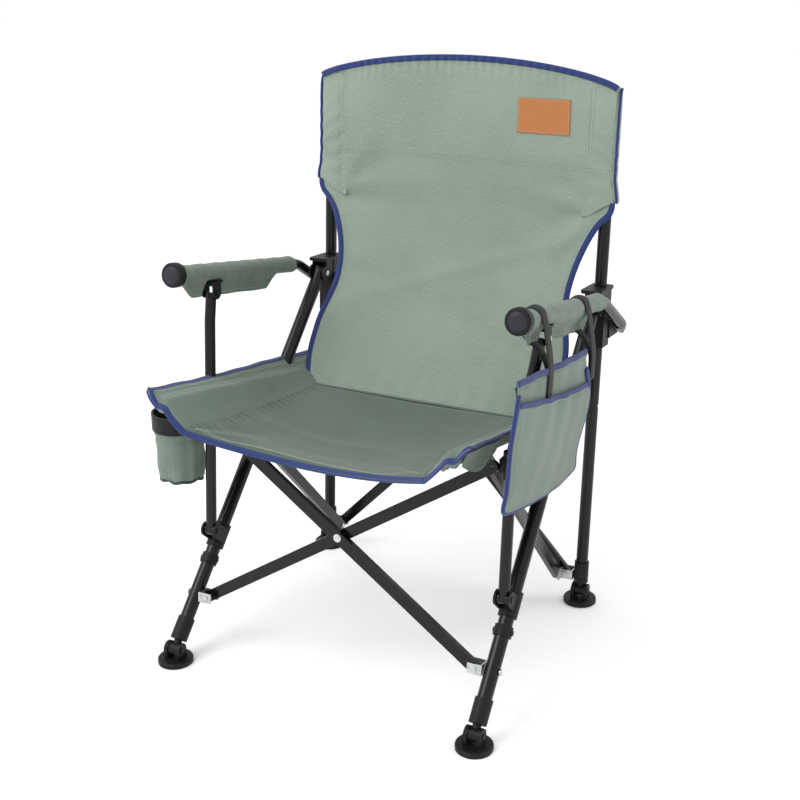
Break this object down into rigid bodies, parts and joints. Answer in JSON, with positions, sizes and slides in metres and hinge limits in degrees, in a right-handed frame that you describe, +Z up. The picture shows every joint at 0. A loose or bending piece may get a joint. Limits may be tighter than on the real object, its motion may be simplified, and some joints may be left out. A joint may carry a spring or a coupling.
{
  "type": "folding camp chair",
  "caption": "Folding camp chair: black tube frame with X braces, sling seat and back, sleeved armrests, cup holder and side pocket.",
  "frame": {"origin": "on the floor, midway between the two rear posts", "axes": "+X to the sitter's left hand seen from the front as right, -Y towards the front, +Z up"},
  "size_m": [0.7411, 0.6579, 0.9974],
  "materials": {
    "black_enamel": "gloss black powder coat on steel tube",
    "black_plastic": "moulded nylon, fine texture",
    "zinc_steel": "zinc plated steel",
    "sage_cloth": "sage green coated polyester weave",
    "black_webbing": "black polypropylene webbing"
  },
  "bodies": {
    "right_post": {"rear_post_right": "black_enamel", "rear_foot_socket_right": "black_plastic", "rear_bracket_right": "zinc_steel", "post_rivets_right": "zinc_steel", "back_cloth": "sage_cloth"},
    "left_post": {"rear_post_left": "black_enamel", "rear_foot_socket_left": "black_plastic", "rear_bracket_left": "zinc_steel", "post_rivets_left": "zinc_steel"},
    "rear_brace_right": {"rear_cross_right": "black_enamel", "rear_cross_rivet": "zinc_steel"},
    "rear_brace_left": {"rear_cross_left": "black_enamel"},
    "right_block": {"slide_block_right": "black_plastic", "block_rivets_right": "zinc_steel"},
    "right_leg": {"front_leg_right": "black_enamel", "front_foot_socket_right": "black_plastic", "stop_collar_right": "black_plastic"},
    "right_arm": {"arm_tube_right": "black_enamel", "arm_cap_right": "black_plastic", "arm_cover_right": "sage_cloth", "arm_fork_right": "black_plastic", "pocket_straps": "black_webbing", "side_pocket": "sage_cloth"},
    "right_slider": {"leg_slider_right": "black_plastic"},
    "right_support": {"arm_support_right": "black_enamel"},
    "right_hub": {"seat_hub_right": "black_plastic"},
    "right_clip": {"front_bracket_right": "zinc_steel", "front_bracket_rivets_right": "zinc_steel"},
    "front_brace_right": {"front_cross_right": "black_enamel", "front_cross_rivet": "zinc_steel"},
    "right_rail": {"seat_rail_right": "black_enamel", "seat_cloth": "sage_cloth"},
    "right_side_brace": {"side_brace_right": "black_enamel"},
    "right_front_pad": {"front_foot_pad_right": "black_plastic"},
    "right_rear_pad": {"rear_foot_pad_right": "black_plastic"},
    "left_block": {"slide_block_left": "black_plastic", "block_rivets_left": "zinc_steel"},
    "left_leg": {"front_leg_left": "black_enamel", "front_foot_socket_left": "black_plastic", "stop_collar_left": "black_plastic"},
    "left_arm": {"arm_tube_left": "black_enamel", "arm_cap_left": "black_plastic", "arm_cover_left": "sage_cloth", "arm_fork_left": "black_plastic"},
    "left_slider": {"leg_slider_left": "black_plastic"},
    "left_support": {"arm_support_left": "black_enamel"},
    "left_hub": {"seat_hub_left": "black_plastic", "cup_ring": "black_plastic", "cup_bag": "sage_cloth"},
    "left_clip": {"front_bracket_left": "zinc_steel", "front_bracket_rivets_left": "zinc_steel"},
    "front_brace_left": {"front_cross_left": "black_enamel"},
    "left_rail": {"seat_rail_left": "black_enamel"},
    "left_side_brace": {"side_brace_left": "black_enamel"},
    "left_front_pad": {"front_foot_pad_left": "black_plastic"},
    "left_rear_pad": {"rear_foot_pad_left": "black_plastic"}
  },
  "joints": [
    {"name": "fold", "type": "hinge", "parent": "right_post", "child": "rear_brace_right", "pos_m": [0.25, 0.00292, 0.05392], "axis": [0, 0.9985, -0.0541], "range_deg": [0, 36], "deforming": ["seat_cloth", "back_cloth"]},
    {"name": "rear_cross_pivot", "type": "hinge", "parent": "rear_brace_right", "child": "rear_brace_left", "pos_m": [0, 0.01687, 0.31154], "axis": [0, 0.9985, -0.0541], "range_deg": [-72.1, 0]},
    {"name": "left_post_pivot", "type": "hinge", "parent": "rear_brace_left", "child": "left_post", "pos_m": [-0.25, 0.00292, 0.05392], "axis": [0, 0.9985, -0.0541], "range_deg": [0, 36.1]},
    {"name": "right_block_pivot", "type": "hinge", "parent": "rear_brace_left", "child": "right_block", "pos_m": [0.25, 0.03082, 0.56917], "axis": [0, 0.9985, -0.0541], "range_deg": [0, 36.1]},
    {"name": "right_leg_pivot", "type": "hinge", "parent": "right_block", "child": "right_leg", "pos_m": [0.279, -0.00914, 0.58936], "axis": [1, 0, 0], "range_deg": [0, 38.1]},
    {"name": "right_arm_pivot", "type": "hinge", "parent": "right_block", "child": "right_arm", "pos_m": [0.3075, 0.08779, 0.53003], "axis": [1, 0, 0], "range_deg": [-64.4, 0]},
    {"name": "right_slider_travel", "type": "slide", "parent": "right_leg", "child": "right_slider", "axis": [-0.0125, 0.6747, 0.738], "range_m": [0, 0.472]},
    {"name": "right_support_pivot", "type": "hinge", "parent": "right_slider", "child": "right_support", "pos_m": [0.28352, -0.405, 0.205], "axis": [1, 0, 0], "range_deg": [-31.1, 0]},
    {"name": "right_hub_travel", "type": "slide", "parent": "right_support", "child": "right_hub", "axis": [-0.0042, 0.0789, 0.9969], "range_m": [-0.166, 0]},
    {"name": "right_clip_pivot", "type": "hinge", "parent": "right_leg", "child": "right_clip", "pos_m": [0.28729, -0.45565, 0.101], "axis": [1, 0, 0], "range_deg": [-28.8, 0]},
    {"name": "front_brace_right_pivot", "type": "hinge", "parent": "right_clip", "child": "front_brace_right", "pos_m": [0.25929, -0.45565, 0.101], "axis": [0, 0.9905, -0.1374], "range_deg": [0, 46.2]},
    {"name": "right_rail_pivot", "type": "hinge", "parent": "right_post", "child": "right_rail", "pos_m": [0.253, 0.02136, 0.39442], "axis": [1, 0, 0], "range_deg": [-72.1, 0]},
    {"name": "right_side_brace_pivot", "type": "hinge", "parent": "right_post", "child": "right_side_brace", "pos_m": [0.237, -0.02277, 0.06032], "axis": [1, 0, 0], "range_deg": [-44.1, 0]},
    {"name": "right_front_pad_tilt", "type": "hinge", "parent": "right_leg", "child": "right_front_pad", "pos_m": [0.28859, -0.52606, 0.024], "axis": [1, 0, 0], "range_deg": [-30, 30]},
    {"name": "right_rear_pad_tilt", "type": "hinge", "parent": "right_post", "child": "right_rear_pad", "pos_m": [0.277, 0.0013, 0.024], "axis": [1, 0, 0], "range_deg": [-30, 30]},
    {"name": "left_block_pivot", "type": "hinge", "parent": "rear_brace_right", "child": "left_block", "pos_m": [-0.25, 0.03082, 0.56917], "axis": [0, 0.9985, -0.0541], "range_deg": [-36.1, 0]},
    {"name": "left_leg_pivot", "type": "hinge", "parent": "left_block", "child": "left_leg", "pos_m": [-0.279, -0.00914, 0.58936], "axis": [1, 0, 0], "range_deg": [0, 38.1]},
    {"name": "left_arm_pivot", "type": "hinge", "parent": "left_block", "child": "left_arm", "pos_m": [-0.3075, 0.08779, 0.53003], "axis": [1, 0, 0], "range_deg": [-64.4, 0]},
    {"name": "left_slider_travel", "type": "slide", "parent": "left_leg", "child": "left_slider", "axis": [0.0125, 0.6747, 0.738], "range_m": [0, 0.472]},
    {"name": "left_support_pivot", "type": "hinge", "parent": "left_slider", "child": "left_support", "pos_m": [-0.28352, -0.405, 0.205], "axis": [1, 0, 0], "range_deg": [-31.1, 0]},
    {"name": "left_hub_travel", "type": "slide", "parent": "left_support", "child": "left_hub", "axis": [0.0042, 0.0789, 0.9969], "range_m": [-0.166, 0]},
    {"name": "left_clip_pivot", "type": "hinge", "parent": "left_leg", "child": "left_clip", "pos_m": [-0.28729, -0.45565, 0.101], "axis": [1, 0, 0], "range_deg": [-28.8, 0]},
    {"name": "front_brace_left_pivot", "type": "hinge", "parent": "left_clip", "child": "front_brace_left", "pos_m": [-0.25929, -0.45565, 0.101], "axis": [0, 0.9905, -0.1374], "range_deg": [-46.2, 0]},
    {"name": "left_rail_pivot", "type": "hinge", "parent": "left_post", "child": "left_rail", "pos_m": [-0.253, 0.02136, 0.39442], "axis": [1, 0, 0], "range_deg": [-72.1, 0]},
    {"name": "left_side_brace_pivot", "type": "hinge", "parent": "left_post", "child": "left_side_brace", "pos_m": [-0.237, -0.02277, 0.06032], "axis": [1, 0, 0], "range_deg": [-44.1, 0]},
    {"name": "left_front_pad_tilt", "type": "hinge", "parent": "left_leg", "child": "left_front_pad", "pos_m": [-0.28859, -0.52606, 0.024], "axis": [1, 0, 0], "range_deg": [-30, 30]},
    {"name": "left_rear_pad_tilt", "type": "hinge", "parent": "left_post", "child": "left_rear_pad", "pos_m": [-0.277, 0.0013, 0.024], "axis": [1, 0, 0], "range_deg": [-30, 30]}
  ],
  "couplings": [
    {"joint": "rear_cross_pivot", "follows": "fold", "ratio": -2},
    {"joint": "left_post_pivot", "follows": "fold", "ratio": 1},
    {"joint": "right_block_pivot", "follows": "fold", "ratio": 1},
    {"joint": "right_leg_pivot", "follows": "fold", "ratio": 1.0556},
    {"joint": "right_arm_pivot", "follows": "fold", "ratio": -1.7861},
    {"joint": "right_slider_travel", "follows": "fold", "m_per_rad": 0.74916},
    {"joint": "right_support_pivot", "follows": "fold", "ratio": -0.86111},
    {"joint": "right_hub_travel", "follows": "fold", "m_per_rad": -0.26261},
    {"joint": "right_clip_pivot", "follows": "fold", "ratio": -0.79722},
    {"joint": "front_brace_right_pivot", "follows": "fold", "ratio": 1.2818},
    {"joint": "right_rail_pivot", "follows": "fold", "ratio": -2},
    {"joint": "right_side_brace_pivot", "follows": "fold", "ratio": -1.2222},
    {"joint": "left_block_pivot", "follows": "fold", "ratio": -1},
    {"joint": "left_leg_pivot", "follows": "fold", "ratio": 1.0556},
    {"joint": "left_arm_pivot", "follows": "fold", "ratio": -1.7861},
    {"joint": "left_slider_travel", "follows": "fold", "m_per_rad": 0.74916},
    {"joint": "left_support_pivot", "follows": "fold", "ratio": -0.86111},
    {"joint": "left_hub_travel", "follows": "fold", "m_per_rad": -0.26261},
    {"joint": "left_clip_pivot", "follows": "fold", "ratio": -0.79722},
    {"joint": "front_brace_left_pivot", "follows": "fold", "ratio": -1.2818},
    {"joint": "left_rail_pivot", "follows": "fold", "ratio": -2},
    {"joint": "left_side_brace_pivot", "follows": "fold", "ratio": -1.2222}
  ]
}
